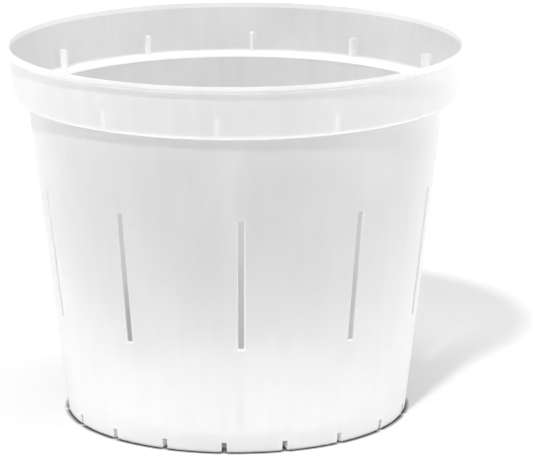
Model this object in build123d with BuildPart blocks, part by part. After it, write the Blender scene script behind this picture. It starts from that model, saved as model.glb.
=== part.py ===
from build123d import *
import os

# Slotted orchid pot, moulded in one piece and written as its zones.
# The origin is the centre of the foot on the ground. +Z is up and -Y is the front. All sizes are in mm.

# Overall
lip_diameter = 165.0
wall = 0.8
overrun = 1.0

# Lip: how far it stands out from the collar, and how far its crest rises above its widest edge
lip_reach = 2.3
lip_crest_rise = 1.3
lip_crest_rounding = 0.45
lip_edge_rounding = 0.35
lip_edge_flat = 0.1

# Collar
collar_height = 16.7
collar_flare = 2.4

# Shoulder: the ledge's width and its bends
ledge_width = 4.3
bend_radius = 2.0
shoulder_land = 0.2

# Side wall, from the ground to the step under the collar
step_height = 114.0
wall_taper = 13.0

# Slots in the side wall
slot_count = 10
slot_turn = 1.3
slot_width = 2.1
slot_length = 46.0
slot_drop = 30.0

# Stacking ribs
rib_count = 12
rib_turn = -4.6
rib_thickness = 1.0
rib_height = 6.9
rib_setback = 1.7

# Foot ring
foot_ring_width = 6.0
foot_inner_draft = 0.5
heel_radius = 1.2
foot_bend_radius = 0.9
foot_land = 1.3
notch_count = 18
notch_turn = -4.3
notch_width = 1.8
notch_height = 3.9
notch_flare = 0.6

# Floor
floor_clearance = 0.3
floor_rim_width = 2.5
drain_count = 10
drain_width = 2.1
drain_inner_radius = 18.0
drain_margin = 6.0

# The front of the pot faces -Y, which is this angle from +X
front_angle = -90.0
full_turn = 360.0

# Radii, worked inwards from the lip
lip_radius = lip_diameter / 2
collar_top_radius = lip_radius - lip_reach
collar_foot_radius = collar_top_radius - collar_flare
wall_top_radius = collar_foot_radius - ledge_width
wall_foot_radius = wall_top_radius - wall_taper
foot_inner_radius = wall_foot_radius - foot_ring_width
floor_edge_radius = foot_inner_radius - floor_rim_width
drain_outer_radius = floor_edge_radius - drain_margin
wall_slope = wall_taper / step_height
collar_slope = collar_flare / collar_height
tight_bend_radius = bend_radius - wall
rib_reach = ledge_width - rib_setback
half_wall = wall / 2

# Heights, worked upwards from the ground
foot_zone_height = notch_height + wall + foot_land
floor_underside_height = notch_height + floor_clearance
floor_top_height = floor_underside_height + wall
slot_top_height = step_height - slot_drop
slot_bottom_height = slot_top_height - slot_length
shoulder_bottom = step_height - bend_radius - shoulder_land
shelf_height = step_height + wall
shoulder_top = shelf_height + bend_radius
rib_top_height = shelf_height + rib_height
lip_underside_height = step_height + collar_height
lip_edge_height = lip_underside_height + 2 * lip_edge_rounding + lip_edge_flat
lip_crest_height = lip_edge_height + lip_crest_rise


def wall_radius(height):
    """Outer radius of the side wall at a height."""
    return wall_foot_radius + wall_slope * height


def collar_radius(height):
    """Outer radius of the collar at a height."""
    return collar_foot_radius + collar_slope * (height - step_height)


def corner(sketch, radius, height):
    """The sketch vertex nearest to a point of the section."""
    return sketch.vertices().sort_by_distance((radius, height))[0]


os.makedirs("parts", exist_ok=True)

# Lip: the inner face carries on the collar's slope to the crest, and the top slopes out to the widest edge
with BuildPart() as rim_lip:
    with BuildSketch(Plane.XZ) as lip_section:
        with BuildLine():
            Polyline(
                (collar_top_radius - wall, lip_underside_height),
                (collar_radius(lip_crest_height) - wall, lip_crest_height),
                (lip_radius, lip_edge_height),
                (lip_radius, lip_underside_height),
                close=True,
            )
        make_face()
        crest = corner(lip_section, collar_radius(lip_crest_height) - wall, lip_crest_height)
        fillet(crest, lip_crest_rounding)
        upper_edge = corner(lip_section, lip_radius, lip_edge_height)
        fillet(upper_edge, lip_edge_rounding)
        lower_edge = corner(lip_section, lip_radius, lip_underside_height)
        fillet(lower_edge, lip_edge_rounding)
    revolve(axis=Axis.Z)
rim_lip.part.label = "rim_lip"
export_step(rim_lip.part, "parts/rim_lip.step")

# Collar: a plain tapered band
with BuildPart() as collar:
    with BuildSketch(Plane.XZ) as collar_section:
        with BuildLine():
            Polyline(
                (collar_radius(shoulder_top), shoulder_top),
                (collar_top_radius, lip_underside_height),
                (collar_top_radius - wall, lip_underside_height),
                (collar_radius(shoulder_top) - wall, shoulder_top),
                close=True,
            )
        make_face()
    revolve(axis=Axis.Z)
collar.part.label = "collar"
export_step(collar.part, "parts/collar.step")

# Shoulder: the ledge and its two bends, one wall thick all the way round
with BuildPart() as shoulder:
    with BuildSketch(Plane.XZ) as shoulder_section:
        with BuildLine():
            Polyline(
                (collar_radius(shoulder_top), shoulder_top),
                (collar_foot_radius, step_height),
                (wall_top_radius, step_height),
                (wall_radius(shoulder_bottom), shoulder_bottom),
                (wall_radius(shoulder_bottom) - wall, shoulder_bottom),
                (wall_radius(shelf_height) - wall, shelf_height),
                (collar_radius(shelf_height) - wall, shelf_height),
                (collar_radius(shoulder_top) - wall, shoulder_top),
                close=True,
            )
        make_face()
        outer_bend = corner(shoulder_section, collar_foot_radius, step_height)
        fillet(outer_bend, bend_radius)
        under_bend = corner(shoulder_section, wall_top_radius, step_height)
        fillet(under_bend, tight_bend_radius)
        inner_bend = corner(shoulder_section, wall_radius(shelf_height) - wall, shelf_height)
        fillet(inner_bend, bend_radius)
        ledge_bend = corner(shoulder_section, collar_radius(shelf_height) - wall, shelf_height)
        fillet(ledge_bend, tight_bend_radius)
    revolve(axis=Axis.Z)
shoulder.part.label = "shoulder"
export_step(shoulder.part, "parts/shoulder.step")

# Rib ring: the ribs' section, drawn into the middle of the collar and the ledge and trimmed to their sections
rib_foot_height = shelf_height - half_wall
rib_inner_radius = collar_radius(shelf_height) - wall - rib_reach
with BuildPart() as rib_ring:
    with BuildSketch(Plane.XZ) as rib_section:
        with BuildLine():
            Polyline(
                (rib_inner_radius, rib_foot_height),
                (collar_radius(rib_foot_height) - half_wall, rib_foot_height),
                (collar_radius(rib_top_height) - half_wall, rib_top_height),
                (collar_radius(rib_top_height) - wall - rib_reach, rib_top_height),
                close=True,
            )
        make_face()
        rib_heel = corner(rib_section, collar_radius(rib_foot_height) - half_wall, rib_foot_height)
        fillet(rib_heel, tight_bend_radius + half_wall)
        add(collar_section.sketch_local, mode=Mode.SUBTRACT)
        add(shoulder_section.sketch_local, mode=Mode.SUBTRACT)
    revolve(axis=Axis.Z)

# Stacking ribs: each is the part of the rib ring that lies in an upright slab
for rib_index in range(rib_count):
    rib_angle = front_angle + rib_turn + rib_index * full_turn / rib_count
    with BuildPart() as rib:
        with PolarLocations(0, 1, start_angle=rib_angle):
            with Locations((rib_inner_radius - overrun, 0, rib_foot_height - overrun)):
                Box(
                    lip_radius - rib_inner_radius + overrun,
                    rib_thickness,
                    rib_top_height - rib_foot_height + 2 * overrun,
                    align=(Align.MIN, Align.CENTER, Align.MIN),
                )
        add(rib_ring.part, mode=Mode.INTERSECT)
    rib_name = f"stacking_rib_{rib_index + 1:02d}"
    rib.part.label = rib_name
    export_step(rib.part, f"parts/{rib_name}.step")

# Side wall: each slot is cut by an upright block. The wall leans away from the block's outer face, so the
# slot breaks through up to its top height and then runs out up the inner face.
slot_face_radius = wall_radius(slot_top_height)
slot_block_inner = wall_radius(slot_bottom_height) - wall - overrun
slot_runout_height = slot_top_height + wall / wall_slope
with BuildPart() as side_wall:
    with BuildSketch(Plane.XZ):
        with BuildLine():
            Polyline(
                (wall_radius(foot_zone_height), foot_zone_height),
                (wall_radius(shoulder_bottom), shoulder_bottom),
                (wall_radius(shoulder_bottom) - wall, shoulder_bottom),
                (wall_radius(foot_zone_height) - wall, foot_zone_height),
                close=True,
            )
        make_face()
    revolve(axis=Axis.Z)
    with PolarLocations(0, slot_count, start_angle=front_angle + slot_turn):
        with Locations((slot_block_inner, 0, slot_bottom_height)):
            Box(
                slot_face_radius - slot_block_inner,
                slot_width,
                slot_runout_height + overrun - slot_bottom_height,
                align=(Align.MIN, Align.CENTER, Align.MIN),
                mode=Mode.SUBTRACT,
            )
side_wall.part.label = "side_wall"
export_step(side_wall.part, "parts/side_wall.step")

# Bridges: over each notch the moulding rises in a small arch across the foot's gutter
bridge_width = notch_width + 2 * wall
bridge_height = notch_height + wall
gutter_inner_radius = foot_inner_radius + half_wall
with BuildPart() as bridges:
    with PolarLocations(0, notch_count, start_angle=front_angle + notch_turn):
        with Locations((floor_edge_radius, 0, half_wall)):
            Box(
                wall_radius(foot_zone_height) - floor_edge_radius,
                bridge_width,
                bridge_height - half_wall,
                align=(Align.MIN, Align.CENTER, Align.MIN),
            )
    with BuildSketch(Plane.XZ):
        with BuildLine():
            Polyline(
                (gutter_inner_radius, half_wall),
                (wall_radius(half_wall) - half_wall, half_wall),
                (wall_radius(bridge_height) - half_wall, bridge_height),
                (gutter_inner_radius, bridge_height),
                close=True,
            )
        make_face()
    revolve(axis=Axis.Z, mode=Mode.INTERSECT)

# One notch: an upright channel with flared feet, drawn across the foot and cut right through it
notch_half = notch_width / 2
notch_start_radius = floor_edge_radius - overrun
with BuildPart() as notch:
    with BuildSketch(Plane.YZ.offset(notch_start_radius)):
        with BuildLine():
            Polyline(
                (-notch_half - notch_flare, -overrun),
                (-notch_half - notch_flare, 0),
                (-notch_half, notch_flare),
                (-notch_half, notch_height),
                (notch_half, notch_height),
                (notch_half, notch_flare),
                (notch_half + notch_flare, 0),
                (notch_half + notch_flare, -overrun),
                close=True,
            )
        make_face()
    extrude(amount=wall_radius(foot_zone_height) + overrun - notch_start_radius)

# Foot ring: heel, standing ring and the step up to the floor
with BuildPart() as foot_ring:
    with BuildSketch(Plane.XZ) as foot_section:
        with BuildLine():
            Polyline(
                (wall_radius(foot_zone_height), foot_zone_height),
                (wall_foot_radius, 0),
                (foot_inner_radius, 0),
                (foot_inner_radius - foot_inner_draft, floor_underside_height),
                (floor_edge_radius, floor_underside_height),
                (floor_edge_radius, floor_top_height),
                (foot_inner_radius - foot_inner_draft + wall, floor_top_height),
                (foot_inner_radius + wall, wall),
                (wall_radius(wall) - wall, wall),
                (wall_radius(foot_zone_height) - wall, foot_zone_height),
                close=True,
            )
        make_face()
        heel = corner(foot_section, wall_foot_radius, 0)
        fillet(heel, heel_radius)
        inner_foot = corner(foot_section, foot_inner_radius, 0)
        fillet(inner_foot, foot_bend_radius)
        floor_bend = corner(foot_section, foot_inner_radius - foot_inner_draft + wall, floor_top_height)
        fillet(floor_bend, foot_bend_radius)
    revolve(axis=Axis.Z)
    add(bridges.part)
    with PolarLocations(0, notch_count, start_angle=front_angle + notch_turn):
        add(notch.part, mode=Mode.SUBTRACT)
foot_ring.part.label = "foot_ring"
export_step(foot_ring.part, "parts/foot_ring.step")

# Floor: a flat raised disc with a star of radial drains
with BuildPart() as floor:
    with BuildSketch(Plane.XY.offset(floor_underside_height)):
        Circle(floor_edge_radius)
        with PolarLocations((drain_inner_radius + drain_outer_radius) / 2, drain_count,
                            start_angle=front_angle + slot_turn):
            SlotOverall(drain_outer_radius - drain_inner_radius, drain_width, mode=Mode.SUBTRACT)
    extrude(amount=wall)
floor.part.label = "floor"
export_step(floor.part, "parts/floor.step")
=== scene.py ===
import math

import bmesh
import bpy
from mathutils import Matrix, Vector


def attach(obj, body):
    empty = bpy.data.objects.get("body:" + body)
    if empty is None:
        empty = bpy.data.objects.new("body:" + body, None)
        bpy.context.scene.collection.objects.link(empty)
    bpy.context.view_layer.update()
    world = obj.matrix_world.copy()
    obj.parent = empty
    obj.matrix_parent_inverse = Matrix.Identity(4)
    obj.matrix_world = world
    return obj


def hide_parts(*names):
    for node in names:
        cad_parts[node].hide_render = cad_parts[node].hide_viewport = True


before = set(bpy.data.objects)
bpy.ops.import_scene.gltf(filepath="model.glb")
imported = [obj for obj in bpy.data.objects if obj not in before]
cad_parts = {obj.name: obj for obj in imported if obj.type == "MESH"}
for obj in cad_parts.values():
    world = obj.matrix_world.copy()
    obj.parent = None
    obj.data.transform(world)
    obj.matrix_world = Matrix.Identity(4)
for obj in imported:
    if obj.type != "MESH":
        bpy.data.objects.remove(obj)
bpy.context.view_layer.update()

# The real pot is one moulding, so one seamless shell stands for all the zones of the CAD model.
# The sizes of the pot are in millimetres, and mm turns them into metres.
mm = 0.001

# Shell
wall = 0.8
lip_radius = 82.5
collar_top = 80.2
collar_foot = 77.8
wall_top = 73.5
wall_foot = 60.5
foot_inner = 54.5
foot_draft = 0.5
step_z = 114.0
lip_under_z = 130.7
lip_edge_z = 131.5
lip_crest_z = 132.8
shelf_z = step_z + wall
floor_under_z = 4.2
floor_top_z = floor_under_z + wall

# How round the shell's corners are
bend = 2.0
tight_bend = bend - wall
heel_rounding = 1.2
foot_rounding = 0.9
crest_rounding = 0.45
groove_rounding = 0.4
lip_rounding = 0.35
small_rounding = 0.3

# Each slot has a drain in line with it. The cutting block of a slot starts slot_cut_depth inside the wall's
# outer face, at the slot's foot, and goes on above the slot until the wall has leaned out of it.
slot_count = 10
slot_turn = 1.3
slot_width = 2.1
slot_bottom_z = 38.0
slot_top_z = 84.0
slot_bevel = 0.4
slot_cut_depth = 3.0
slot_runout = 8.0
drain_width = 2.1
drain_inner = 18.0
drain_outer = 46.0

rib_count = 12
rib_turn = -4.6
rib_thickness = 1.0
rib_reach = 2.6
rib_top_z = 121.7

notch_count = 18
notch_turn = -4.3
notch_width = 1.8
notch_z = 3.9
notch_flare = 0.6
notch_cut_inner = 51.0
notch_cut_outer = 63.0
clearance = 1.0

# Mesh: steps round the pot and in each rounding, and the angle from which an edge is sharp. front is -Y.
front = -90.0
turn_steps = 720
bend_steps = 7
sharp_angle = math.radians(32)


def wall_radius(z):
    return wall_foot + (wall_top - wall_foot) * z / step_z


def collar_radius(z):
    return collar_foot + (collar_top - collar_foot) * (z - step_z) / (lip_under_z - step_z)


def angles(count, turn):
    """Angles evenly spaced round the axis, in degrees, the first one turned away from the front."""
    return [front + turn + 360 * k / count for k in range(count)]


def rounded(points):
    """The outline's points, each corner given as (radius from the axis, z, rounding)."""
    out = []
    count = len(points)
    for i, (r, z, rounding) in enumerate(points):
        here = Vector((r, z))
        if rounding == 0:
            out.append(here)
            continue
        before = (Vector(points[i - 1][:2]) - here).normalized()
        after = (Vector(points[(i + 1) % count][:2]) - here).normalized()
        half = before.angle(after) / 2
        centre = here + (before + after).normalized() * rounding / math.sin(half)
        start = here + before * rounding / math.tan(half) - centre
        end = here + after * rounding / math.tan(half) - centre
        sweep = start.angle_signed(end)
        for step in range(bend_steps + 1):
            turned = start.copy()
            turned.rotate(Matrix.Rotation(-sweep * step / bend_steps, 2))
            out.append(centre + turned)
    return out


def as_object(bm, name):
    mesh = bpy.data.meshes.new(name)
    bm.to_mesh(mesh)
    bm.free()
    piece = bpy.data.objects.new(name, mesh)
    bpy.context.scene.collection.objects.link(piece)
    return piece


def lathe(outline, name):
    """A closed outline turned about Z. A point on the axis becomes one pole."""
    bm = bmesh.new()
    rings = []
    for point in outline:
        if point.x < 1e-6:
            rings.append([bm.verts.new((0, 0, point.y * mm))])
            continue
        ring = []
        for k in range(turn_steps):
            a = 2 * math.pi * k / turn_steps
            x, y = point.x * mm * math.cos(a), point.x * mm * math.sin(a)
            ring.append(bm.verts.new((x, y, point.y * mm)))
        rings.append(ring)
    for i, low in enumerate(rings):
        high = rings[(i + 1) % len(rings)]
        if len(low) == 1 and len(high) == 1:
            continue
        for k in range(turn_steps):
            n = (k + 1) % turn_steps
            if len(low) == 1:
                bm.faces.new((low[0], high[k], high[n]))
            elif len(high) == 1:
                bm.faces.new((low[k], low[n], high[0]))
            else:
                bm.faces.new((low[k], low[n], high[n], high[k]))
    bmesh.ops.recalc_face_normals(bm, faces=bm.faces)
    return as_object(bm, name)


def block(width, low, high):
    """An upright rectangle as a section, given as (sideways, z)."""
    side = width / 2
    return [(-side, low), (side, low), (side, high), (-side, high)]


def close_between(bm, rings):
    """A closed solid between two rings that have the same number of points."""
    near, far = [[bm.verts.new(point) for point in ring] for ring in rings]
    count = len(near)
    faces = [bm.faces.new(near), bm.faces.new(list(reversed(far)))]
    for i in range(count):
        n = (i + 1) % count
        faces.append(bm.faces.new((near[i], far[i], far[n], near[n])))
    bmesh.ops.recalc_face_normals(bm, faces=faces)


def prism(bm, section, near, far, angle):
    """A bar along the radius at angle, from near to far, with a section given as (sideways, z)."""
    spin = Matrix.Rotation(math.radians(angle), 3, "Z")
    rings = []
    for r in (near, far):
        rings.append([spin @ Vector((r * mm, s * mm, z * mm)) for s, z in section])
    close_between(bm, rings)


def flared_slot(bm, angle):
    """A block that widens outwards and follows the leaning wall: it bevels a slot's outer edge."""
    spin = Matrix.Rotation(math.radians(angle), 3, "Z")
    rings = []
    for depth, spread in ((-slot_bevel, 0), (slot_bevel, 2 * slot_bevel)):
        section = block(slot_width + 2 * spread, slot_bottom_z - spread, slot_top_z + spread)
        rings.append([spin @ Vector(((wall_radius(z) + depth) * mm, s * mm, z * mm)) for s, z in section])
    close_between(bm, rings)


def combine(piece, tool, operation):
    """Applies one boolean and removes the tool."""
    step = piece.modifiers.new("step", "BOOLEAN")
    step.object = tool
    step.operation = operation
    step.solver = "EXACT"
    done = bpy.data.meshes.new_from_object(piece.evaluated_get(bpy.context.evaluated_depsgraph_get()))
    piece.modifiers.clear()
    piece.data = done
    bpy.data.objects.remove(tool)


# The shell's outline, from the middle of the floor's underside, out and up to the lip, and back down inside
pot = lathe(rounded([
    (0, floor_under_z, 0),
    (foot_inner - foot_draft, floor_under_z, small_rounding),
    (foot_inner, 0, foot_rounding),
    (wall_foot, 0, heel_rounding),
    (wall_top, step_z, tight_bend),
    (collar_foot, step_z, bend),
    (collar_top, lip_under_z, small_rounding),
    (lip_radius, lip_under_z, lip_rounding),
    (lip_radius, lip_edge_z, lip_rounding),
    (collar_radius(lip_crest_z) - wall, lip_crest_z, crest_rounding),
    (collar_radius(shelf_z) - wall, shelf_z, tight_bend),
    (wall_radius(shelf_z) - wall, shelf_z, bend),
    (wall_radius(wall) - wall, wall, groove_rounding),
    (foot_inner + wall, wall, small_rounding),
    (foot_inner - foot_draft + wall, floor_top_z, foot_rounding),
    (0, floor_top_z, 0),
]), "pot")

# Ribs on the ledge inside the collar, and the arches that carry the moulding over the notches
ribs = bmesh.new()
for angle in angles(rib_count, rib_turn):
    prism(ribs, block(rib_thickness, shelf_z - wall / 2, rib_top_z),
          collar_radius(shelf_z) - wall - rib_reach, collar_radius(shelf_z) - wall / 2, angle)
combine(pot, as_object(ribs, "ribs"), "UNION")
arches = bmesh.new()
for angle in angles(notch_count, notch_turn):
    prism(arches, block(notch_width + 2 * wall, wall / 2, notch_z + wall),
          foot_inner, wall_foot - wall / 2, angle)
combine(pot, as_object(arches, "arches"), "UNION")

# The wall leans away from each slot's upright block, so a slot runs out up the inner face
cuts = bmesh.new()
for angle in angles(slot_count, slot_turn):
    prism(cuts, block(slot_width, slot_bottom_z, slot_top_z + slot_runout),
          wall_radius(slot_bottom_z) - slot_cut_depth, wall_radius(slot_top_z), angle)
    prism(cuts, block(drain_width, floor_under_z - clearance, floor_top_z + clearance),
          drain_inner, drain_outer, angle)
half_notch = notch_width / 2
half_mouth = half_notch + notch_flare
notch = [(-half_mouth, -clearance), (half_mouth, -clearance), (half_mouth, 0), (half_notch, notch_flare),
         (half_notch, notch_z), (-half_notch, notch_z), (-half_notch, notch_flare), (-half_mouth, 0)]
for angle in angles(notch_count, notch_turn):
    prism(cuts, notch, notch_cut_inner, notch_cut_outer, angle)
combine(pot, as_object(cuts, "cuts"), "DIFFERENCE")
bevels = bmesh.new()
for angle in angles(slot_count, slot_turn):
    flared_slot(bevels, angle)
combine(pot, as_object(bevels, "bevels"), "DIFFERENCE")

for polygon in pot.data.polygons:
    polygon.use_smooth = True
pot.data.set_sharp_from_angle(angle=sharp_angle)

# The collar's outside, the ledge, the ribs, the floor and the cut edges scatter more light than the plain wall
# and the collar's inside. Each face says how milky it is, how much of its haze is at least light from within,
# and whether it looks inwards.
zones = {
    "lip": (0.0, 0.0),
    "collar": (0.15, 0.0),
    "rib": (1.0, 0.0),
    "corner": (0.3, 0.0),
    "ledge": (0.95, 0.0),
    "step": (0.35, 0.0),
    "slot": (0.3, 0.0),
    "notch": (1.0, 0.5),
    "floor": (1.0, 0.0),
}
plain_outward = 0.85
rib_end = collar_radius(shelf_z) - wall - rib_reach / 2
corner_height = 1.3
upright = 0.01
just_above = 0.01
straight_down = -0.99


def zone_of(spot, normal):
    """The zone of a face, from its centre and its normal, or None for the wall and the collar's inside."""
    r = math.hypot(spot.x, spot.y)
    outward = (normal.x * spot.x + normal.y * spot.y) / r
    on_edge = outward < 0 and shelf_z - bend < spot.z < shelf_z
    on_rib = shelf_z < spot.z < rib_top_z and r < rib_end
    if abs(outward) > plain_outward and not on_edge and not on_rib:
        return "collar" if outward > 0 and step_z < spot.z < lip_under_z else None
    if spot.z > lip_under_z:
        return "lip"
    if spot.z > shelf_z + corner_height or (spot.z > shelf_z and abs(normal.z) < upright):
        return "rib"
    if spot.z > shelf_z + just_above:
        return "corner"
    if spot.z > step_z - wall:
        return "ledge" if normal.z > 0 else "step"
    if spot.z > slot_bottom_z - wall:
        return "slot"
    if r > foot_inner and normal.z > straight_down:
        return "notch"
    return "floor"


milky = pot.data.attributes.new("milky", "FLOAT", "FACE")
lit_within = pot.data.attributes.new("lit_within", "FLOAT", "FACE")
inside = pot.data.attributes.new("inside", "FLOAT", "FACE")
for polygon in pot.data.polygons:
    spot, normal = polygon.center / mm, polygon.normal
    inside.data[polygon.index].value = float(normal.x * spot.x + normal.y * spot.y < 0)
    zone = zone_of(spot, normal)
    if zone:
        milky.data[polygon.index].value, lit_within.data[polygon.index].value = zones[zone]

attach(pot, "root")
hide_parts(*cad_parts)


def add(tree, kind, inputs=None, **settings):
    """A shader node with its settings. An input is given as a number, a colour or another node's output."""
    node = tree.nodes.new("ShaderNode" + kind)
    for name, value in settings.items():
        setattr(node, name, value)
    for name, value in (inputs or {}).items():
        if isinstance(value, bpy.types.NodeSocket):
            tree.links.new(value, node.inputs[name])
        else:
            node.inputs[name].default_value = value
    return node


def calc(tree, operation, a, b):
    return add(tree, "Math", {0: a, 1: b}, operation=operation).outputs["Value"]


def blend(tree, share, a, b):
    """A number that goes from a to b with the share."""
    return add(tree, "Mix", {"Factor": share, "A": a, "B": b}, data_type="FLOAT").outputs["Result"]


def remap(tree, value, to_min, to_max, from_min=0.0, from_max=1.0, interpolation="LINEAR"):
    ends = {"From Min": from_min, "From Max": from_max, "To Min": to_min, "To Max": to_max}
    return add(tree, "MapRange", {"Value": value, **ends}, interpolation_type=interpolation).outputs["Result"]


def greys(tree, noise, low, high):
    """Greys that follow a noise, most of which lies between 0.3 and 0.7."""
    ramp = add(tree, "ValToRGB", {"Fac": noise})
    for element, position, grey in zip(ramp.color_ramp.elements, (0.3, 0.7), (low, high)):
        element.position = position
        element.color = (grey, grey, grey, 1)
    return ramp.outputs["Color"]


def marked(tree, name):
    """What each face of the pot says under this name."""
    return add(tree, "Attribute", attribute_name=name).outputs["Fac"]


def seen(tree):
    """1 for light on its way to the camera, direct, through plastic or mirrored, and 0 for light on the pot."""
    rays = add(tree, "LightPath").outputs
    direct = calc(tree, "MAXIMUM", rays["Is Camera Ray"], rays["Is Transmission Ray"])
    return calc(tree, "MAXIMUM", direct, rays["Is Glossy Ray"])


def empty_material(name):
    mat = bpy.data.materials.new(name)
    mat.use_nodes = True
    mat.node_tree.nodes.clear()
    return mat, mat.node_tree


# foot_share and upper_share are the shares of the light that cross an outer face head on without being
# scattered: at the foot, where the outside is made milkiest, and from upper_z upwards. The mould leaves the
# outside matt and the inside smooth, so inner faces let inner_share through. Fully milky faces let milky_share
# through.
foot_share = 0.34
upper_share = 0.6
upper_z = 90.0
inner_share = 0.9
milky_share = 0.1
onward_most = 0.5
slant_least = 0.04

# How milky the collar is in front of a rib, where a pale bar is painted that is partly painted light for the
# lit rib behind, and how milky the lip is on its inner face
painted_rib_bar_share = 0.5
painted_rib_bar_half_width = 1.8 * rib_thickness
lip_inner_share = 0.6

# Clouds about 20 mm across, flow lines about 4 mm apart up the wall, and a grain under half a millimetre
cloud_scale = 45.0
cloud_detail = 4.0
flow_stretch = (260.0, 260.0, 9.0)
flow_detail = 3.0
flow_share = 0.45
grain_scale = 2600.0
grain_detail = 2.0
grain_strength = 0.06
grain_depth = 0.0001

# Colours and gloss
white_low, white_high = 0.945, 0.985
clear_low, clear_high = 0.51, 0.59
gloss_low, gloss_high = 0.34, 0.46
skin_specular = 0.15
clear_ior = 1.15
clear_roughness = 0.3


def plastic():
    """Milky polypropylene: part of the light goes through the wall, and the rest is scattered back and on."""
    mat, tree = empty_material("milky plastic")
    place = add(tree, "TexCoord").outputs["Object"]
    across = add(tree, "SeparateXYZ", {"Vector": place}).outputs
    cloud = add(tree, "TexNoise", {"Vector": place, "Scale": cloud_scale, "Detail": cloud_detail})
    stretched = add(tree, "Mapping", {"Vector": place, "Scale": flow_stretch}).outputs["Vector"]
    flow = add(tree, "TexNoise", {"Vector": stretched, "Scale": 1.0, "Detail": flow_detail})
    uneven = blend(tree, flow_share, cloud.outputs["Fac"], flow.outputs["Fac"])
    grain = add(tree, "TexNoise", {"Vector": place, "Scale": grain_scale, "Detail": grain_detail})
    bump = add(tree, "Bump", {"Height": grain.outputs["Fac"], "Strength": grain_strength,
                              "Distance": grain_depth})

    # Where a rib stands behind the collar the moulding is as thick as both, and a paler bar is painted there by
    # the angle round the axis: partly that thicker plastic, partly painted light standing in for the lit rib
    # seen through the collar
    turn = calc(tree, "ARCTAN2", across["Y"], across["X"])
    from_rib = calc(tree, "SUBTRACT", turn, math.radians(front + rib_turn))
    aside = calc(tree, "PINGPONG", from_rib, math.pi / rib_count)
    painted_bar = remap(tree, aside, painted_rib_bar_share, 0.0, from_max=painted_rib_bar_half_width / collar_foot)
    above = calc(tree, "GREATER_THAN", across["Z"], shelf_z * mm)
    below = calc(tree, "LESS_THAN", across["Z"], rib_top_z * mm)
    painted_bars = calc(tree, "MULTIPLY", painted_bar, calc(tree, "MULTIPLY", above, below))

    # The lip is solid behind the collar's inner face, so it's milkier there too
    inner = marked(tree, "inside")
    in_lip = calc(tree, "GREATER_THAN", across["Z"], lip_under_z * mm)
    in_lip = calc(tree, "MULTIPLY", calc(tree, "MULTIPLY", in_lip, lip_inner_share), inner)
    most_milky = calc(tree, "MAXIMUM", marked(tree, "milky"), calc(tree, "MAXIMUM", painted_bars, in_lip))

    # Light that crosses at a slant has more plastic to pass: the clear share is the head-on share to the power
    # 1 / cosine. Layer Weight's Facing is 1 minus the cosine.
    clear_by_height = remap(tree, across["Z"], foot_share, upper_share, from_max=upper_z * mm,
                     interpolation="SMOOTHSTEP")
    head_on = blend(tree, most_milky, blend(tree, inner, clear_by_height, inner_share), milky_share)
    facing = add(tree, "LayerWeight", {"Blend": 0.5}).outputs["Facing"]
    path = calc(tree, "DIVIDE", 1.0, remap(tree, facing, 1.0, slant_least))
    clear_share = calc(tree, "POWER", head_on, path)

    # Haze: light that is scattered back or on. The more plastic it has crossed, the more comes back.
    white = greys(tree, uneven, white_low, white_high)
    back = add(tree, "BsdfPrincipled", {
        "Base Color": white, "Roughness": remap(tree, uneven, gloss_low, gloss_high),
        "Specular IOR Level": skin_specular, "Normal": bump.outputs["Normal"]})
    through = add(tree, "BsdfTranslucent", {"Color": white})
    on = calc(tree, "MAXIMUM", remap(tree, clear_share, 0.0, onward_most), marked(tree, "lit_within"))
    haze = add(tree, "MixShader", {"Fac": on, 1: back.outputs["BSDF"], 2: through.outputs["BSDF"]})

    # Clear: light that passes with a little blur
    clear = add(tree, "BsdfPrincipled", {
        "Base Color": greys(tree, uneven, clear_low, clear_high), "Transmission Weight": 1.0,
        "IOR": clear_ior, "Roughness": clear_roughness})
    mix = add(tree, "MixShader", {"Fac": clear_share, 1: haze.outputs["Shader"], 2: clear.outputs["BSDF"]})
    add(tree, "OutputMaterial", {"Surface": mix.outputs["Shader"]})
    return mat


pot.data.materials.clear()
pot.data.materials.append(plastic())

# Floor: pale diffuse paper, in metres. The camera sees it brighter than it lights the pot, more so further
# away, and still sees the shadow. Close under the pot a contact shadow is painted into its colour and its glow.
floor_half_size = 6.0
paper_white = 0.8
fade_start, fade_end = 0.2, 0.9
glow_near, glow_far = 0.12, 0.5
painted_shadow_reach = 0.0018
painted_shadow_power = 2.5


def paper():
    mat, tree = empty_material("paper")
    # Painted contact shadow: ambient occlusion darkens the paper's colour and its glow close under the pot
    open_sky = add(tree, "AmbientOcclusion", {"Distance": painted_shadow_reach}).outputs["AO"]
    painted_contact_shadow = calc(tree, "POWER", open_sky, painted_shadow_power)
    place = add(tree, "TexCoord").outputs["Object"]
    away = add(tree, "VectorMath", {0: place}, operation="LENGTH").outputs["Value"]
    fade = remap(tree, away, glow_near, glow_far, fade_start, fade_end, "SMOOTHSTEP")
    skin = add(tree, "BsdfDiffuse", {"Color": calc(tree, "MULTIPLY", painted_contact_shadow, paper_white)})
    glow = add(tree, "Emission", {"Color": painted_contact_shadow, "Strength": calc(tree, "MULTIPLY", seen(tree), fade)})
    both = add(tree, "AddShader", {0: skin.outputs["BSDF"], 1: glow.outputs["Emission"]})
    add(tree, "OutputMaterial", {"Surface": both.outputs["Shader"]})
    return mat


floor_bm = bmesh.new()
bmesh.ops.create_grid(floor_bm, x_segments=1, y_segments=1, size=floor_half_size)
floor = as_object(floor_bm, "ground")
floor.data.materials.append(paper())

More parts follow.
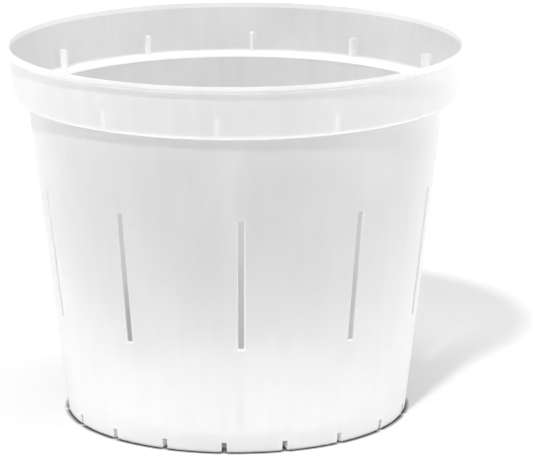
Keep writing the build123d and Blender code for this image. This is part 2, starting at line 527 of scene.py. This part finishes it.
# World: even soft light on the pot, white to the camera and through the plastic
world_soft = 0.22
world = bpy.data.worlds.new("studio")
bpy.context.scene.world = world
world.use_nodes = True
tree = world.node_tree
tree.nodes.clear()
soft = add(tree, "Background", {"Color": (1, 1, 1, 1), "Strength": world_soft})
white = add(tree, "Background", {"Color": (1, 1, 1, 1)})
sky = add(tree, "MixShader", {
    "Fac": seen(tree), 1: soft.outputs["Background"], 2: white.outputs["Background"]})
add(tree, "OutputWorld", {"Surface": sky.outputs["Shader"]})


def hang(name, data, direction, place=(0, 0, 0)):
    """Puts a lamp at a place, shining in a direction."""
    holder = bpy.data.objects.new(name, data)
    holder.location = place
    holder.rotation_euler = Vector(direction).to_track_quat("-Z", "Y").to_euler()
    bpy.context.scene.collection.objects.link(holder)


# Lamps: the key shines from the upper left front, and its strength is in W/m2
key = bpy.data.lights.new("key", "SUN")
key.energy = 1.65
key.angle = math.radians(5)
hang("key", key, (0.33, 1.18, -1.31))

# The other lamps are discs, each with its place, the place it shines at, its diameter and its power in W
for name, place, target, size, power in (
    ("top", (0, 0.1, 1.6), (0, 0, 0.06), 1.2, 10.7),
    ("left", (-1.2, -0.1, 0.5), (0, 0, 0.07), 0.8, 3.6),
    ("right", (1.2, -0.1, 0.5), (0, 0, 0.07), 0.8, 5.4),
    ("low_front", (0, -0.55, 0.03), (0, 0, 0.02), 0.25, 1.4),
):
    light = bpy.data.lights.new(name, "AREA")
    light.shape = "DISK"
    light.size = size
    light.energy = power
    hang(name, light, Vector(target) - Vector(place), place)

# Camera: fitted to the photograph, with its focal length in pixels. It looks along +Y, tilted up from straight
# down by camera_tilt degrees, and it leans and turns a little.
photo_width = 533
focal_pixels = 3500
sensor_width = 36.0
camera_tilt = 76.134
camera_lean = 0.104
camera_turn = -0.533
camera_place = (0, -1.21229, 0.36335)
camera_data = bpy.data.cameras.new("camera")
camera_data.sensor_fit = "HORIZONTAL"
camera_data.sensor_width = sensor_width
camera_data.lens = focal_pixels * sensor_width / photo_width
camera = bpy.data.objects.new("camera", camera_data)
bpy.context.scene.collection.objects.link(camera)
camera.location = camera_place
camera.rotation_euler = [math.radians(a) for a in (camera_tilt, camera_lean, camera_turn)]
bpy.context.scene.camera = camera

bpy.context.scene.view_settings.view_transform = "Standard"
